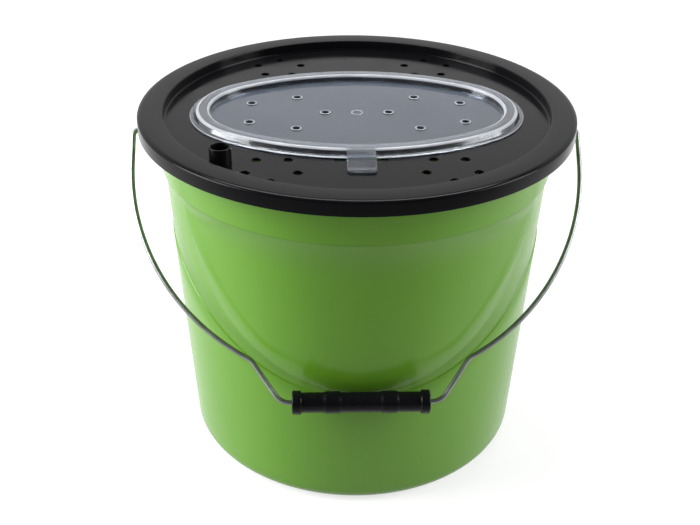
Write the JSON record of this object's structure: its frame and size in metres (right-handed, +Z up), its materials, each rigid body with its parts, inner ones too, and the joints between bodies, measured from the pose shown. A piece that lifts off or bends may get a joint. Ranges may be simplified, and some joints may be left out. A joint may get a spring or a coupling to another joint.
{
  "type": "aerated bait bucket",
  "caption": "Round tapered plastic bucket with lift-off vented lid, oval clear hinged hatch, air line port and wire bail with tube grip, for keeping live bait.",
  "frame": {"origin": "middle of the footprint, on the surface that the bucket stands on", "axes": "+X to the right along the bail's pivot axis and the hatch's length, -Y to the front where the bail hangs and the latch tab points, +Z up"},
  "size_m": [0.3296, 0.316, 0.2703],
  "materials": {
    "bucket_green": "glossy lime green injection-moulded polypropylene",
    "bail_zinc": "zinc-plated round steel wire",
    "grip_black": "black moulded polyethylene with a soft sheen",
    "lid_black": "satin to glossy black injection-moulded polypropylene",
    "port_black": "plain black moulded plastic",
    "hatch_clear": "clear to faintly milky bluish polypropylene"
  },
  "bodies": {
    "bucket": {"bucket": "bucket_green"},
    "bail": {"bail_wire": "bail_zinc"},
    "grip": {"bail_grip": "grip_black"},
    "lid": {"lid": "lid_black", "air_port": "port_black"},
    "hatch": {"hatch": "hatch_clear"}
  },
  "joints": [
    {"name": "bail_swing", "type": "hinge", "parent": "bucket", "child": "bail", "pos_m": [0, 0, 0.246], "axis": [-1, 0, 0], "range_deg": [0, 270]},
    {"name": "grip_spin", "type": "hinge", "parent": "bail", "child": "grip", "pos_m": [0, -0.1421, 0.10357], "axis": [1, 0, 0], "continuous": true},
    {"name": "lid_lift", "type": "slide", "parent": "bucket", "child": "lid", "axis": [0, 0, 1], "range_m": [0, 0.08]},
    {"name": "hatch_hinge", "type": "hinge", "parent": "lid", "child": "hatch", "pos_m": [0, 0.0808, 0.2573], "axis": [-1, 0, 0], "range_deg": [0, 110]}
  ]
}
